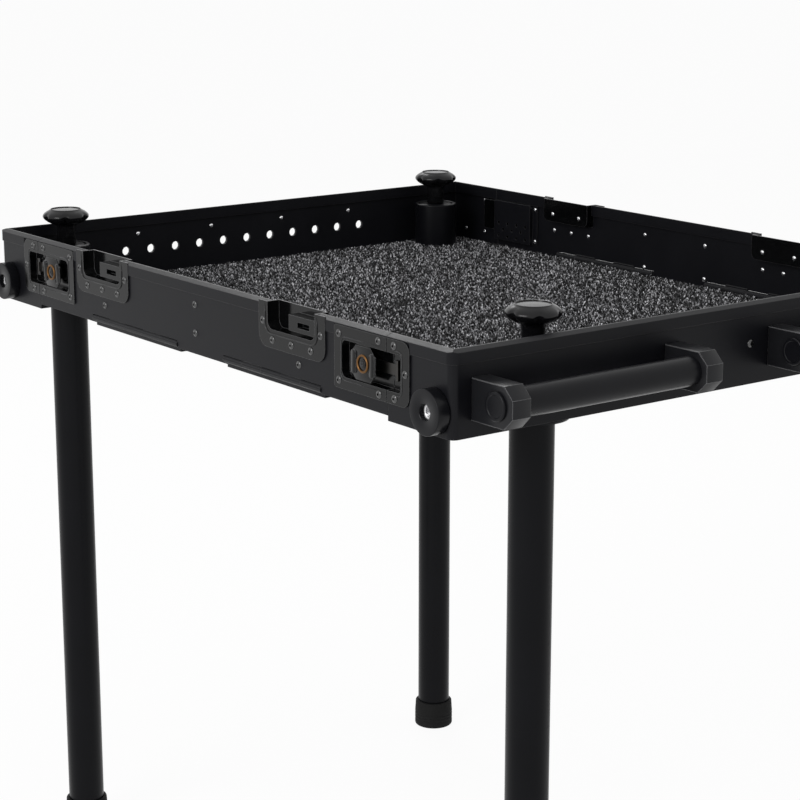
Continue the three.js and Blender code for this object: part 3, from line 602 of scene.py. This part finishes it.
def tones(count, chance):
    """A grey for each yarn: mostly charcoal, some near black, and a share of pale flecks."""
    grey = chance.uniform(0.02, 0.09, count)
    pick = chance.random(count)
    grey = np.where(pick < 0.34, chance.uniform(0.004, 0.014, count), grey)
    return np.where(pick > 0.72, chance.uniform(0.3, 0.95, count), grey)


def carpet_backing(step=0.003):
    """The backing: a level grid over the deck with a slight random rise and fall."""
    chance = np.random.default_rng(7)
    columns, rows = int(CARPET[0] / step) + 1, int(CARPET[1] / step) + 1
    x, y = np.meshgrid(np.linspace(carpet_low.x, carpet_high.x, columns),
                       np.linspace(carpet_low.y, carpet_high.y, rows))
    z = carpet_high.z - 0.0006 + chance.uniform(-1, 1, x.shape) * 0.0002
    points = np.stack([x, y, z], -1).reshape(-1, 3)
    first = (np.arange(rows - 1)[:, None] * columns + np.arange(columns - 1)[None, :]).ravel()
    faces = np.stack([first, first + 1, first + columns + 1, first + columns], -1)
    mesh = bpy.data.meshes.new("carpet_backing")
    mesh.from_pydata(points.tolist(), [], faces.tolist())
    tone = mesh.color_attributes.new("tone", "FLOAT_COLOR", "POINT")
    # The backing is painted darker than the yarn, at 0.6 of its tones, as painted shade beneath the pile.
    grey = tones(len(points), chance) * 0.6
    tone.data.foreach_set("color", np.stack([grey, grey, grey * 1.05, np.ones_like(grey)], -1).ravel())
    mesh.shade_smooth()
    return mesh


def carpet_pile(name, seed, count=48000, height=0.0034, width=0.00105):
    """Yarn ends: bent three-sided slips on a jittered grid, leaning and turned at random."""
    chance = np.random.default_rng(seed)
    columns = int(np.sqrt(count * CARPET[0] / CARPET[1]))
    rows = count // columns
    cell = np.stack(np.meshgrid(np.arange(columns), np.arange(rows)), -1).reshape(-1, 2)
    edge = 0.003
    spread = (np.array(CARPET) - 2 * edge) / (columns, rows)
    foot = (cell + chance.uniform(0.05, 0.95, cell.shape)) * spread
    foot += (carpet_low.x + edge, carpet_low.y + edge)
    keep = np.ones(len(foot), bool)
    for corner, _, _ in CORNERS:
        a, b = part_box(f"post_socket_{corner}")
        hub = np.array([(a.x + b.x) / 2, (a.y + b.y) / 2])
        keep &= np.hypot(*(foot - hub).T) > SOCKET_CLEAR
    foot = foot[keep]
    total = len(foot)
    turn = chance.uniform(0, 2 * np.pi, total)
    lean = chance.uniform(0.15, 1.0, total) * height * 0.75
    tall = chance.uniform(0.65, 1.0, total) * height
    way = np.stack([np.cos(turn), np.sin(turn)], -1)
    side = np.stack([-np.sin(turn), np.cos(turn)], -1)
    points = np.zeros((total, 6, 3))
    base = carpet_high.z - 0.0008
    for row, (share, bend, wide) in enumerate(((0, 0, 1.0), (0.6, 0.35, 1.1), (1.0, 1.0, 0.75))):
        middle = foot + way * (lean * bend)[:, None]
        for slot, sign in ((0, -1), (1, 1)):
            points[:, row * 2 + slot, :2] = middle + side * sign * width / 2 * wide
            points[:, row * 2 + slot, 2] = base + tall * share
    start = np.arange(total)[:, None] * 6
    faces = np.concatenate([start + [0, 1, 3, 2], start + [2, 3, 5, 4]])
    mesh = bpy.data.meshes.new(name)
    mesh.from_pydata(points.reshape(-1, 3).tolist(), [], faces.tolist())
    # Each yarn end is painted darker at its root, painted shade down in the pile, and lighter at its tip, a
    # painted highlight.
    grey = np.repeat(tones(total, chance), 6) * np.tile([0.35, 0.35, 0.8, 0.8, 1.15, 1.15], total)
    tone = mesh.color_attributes.new("tone", "FLOAT_COLOR", "POINT")
    tone.data.foreach_set("color", np.stack([grey, grey, grey * 1.04, np.ones_like(grey)], -1).ravel())
    mesh.shade_smooth()
    return mesh


yarn = yarn_finish("carpet_yarn", 0.9)
meshes = [carpet_backing()] + [carpet_pile(f"carpet_pile_{seed}", seed) for seed in (11, 12, 13)]
for mesh in meshes:
    name = mesh.name
    mesh.materials.append(yarn)
    piece = bpy.data.objects.new(name, mesh)
    scene.collection.objects.link(piece)
    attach(piece, "tray")
    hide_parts("carpet_lining")
